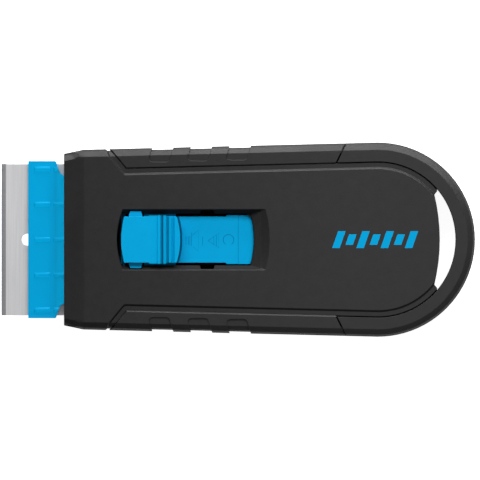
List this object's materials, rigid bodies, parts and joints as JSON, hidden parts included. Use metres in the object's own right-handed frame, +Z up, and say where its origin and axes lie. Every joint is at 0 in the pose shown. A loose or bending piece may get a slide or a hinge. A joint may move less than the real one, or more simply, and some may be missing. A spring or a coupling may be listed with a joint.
{
  "type": "hand scraper",
  "caption": "Retractable hand scraper: a flat black handle with side grips and a hanging bow, a blue latched thumb slider, and a ribbed clamp that holds a wide thin steel blade.",
  "frame": {"origin": "under the middle of the whole tool with its blade out, on the flat underside that it rests on", "axes": "+X along the handle towards the hanging bow, so the blade points to -X; +Z up, out of the face with the thumb slider"},
  "size_m": [0.1344, 0.0552, 0.016],
  "materials": {
    "shell_black": "fine spark-eroded texture",
    "grip_black": "fine spark-eroded texture, slightly softer than the shells",
    "slider_blue": "satin",
    "blade_steel": "rolled, with ground edges",
    "screw_steel": "zinc plated"
  },
  "bodies": {
    "housing": {"upper_housing": "shell_black", "lower_housing": "shell_black", "grip_left": "grip_black", "grip_right": "grip_black", "rear_bow": "grip_black", "housing_screw_front_left": "screw_steel", "housing_screw_front_right": "screw_steel", "housing_screw_rear_left": "screw_steel", "housing_screw_rear_right": "screw_steel"},
    "carriage": {"carriage": "slider_blue", "blade": "blade_steel", "blade_clamp": "slider_blue", "clamp_screw_left": "screw_steel", "clamp_screw_right": "screw_steel", "slider_body": "slider_blue", "latch_spring": "slider_blue", "slider_screw": "screw_steel"},
    "button": {"thumb_button": "slider_blue"}
  },
  "joints": [
    {"name": "carriage_slide", "type": "slide", "parent": "housing", "child": "carriage", "axis": [1, 0, 0], "range_m": [0, 0.0203]},
    {"name": "button_press", "type": "slide", "parent": "carriage", "child": "button", "axis": [0, 0, -1], "range_m": [0, 0.0016], "stiffness_N_per_m": 1500, "deforming": ["latch_spring"]}
  ]
}
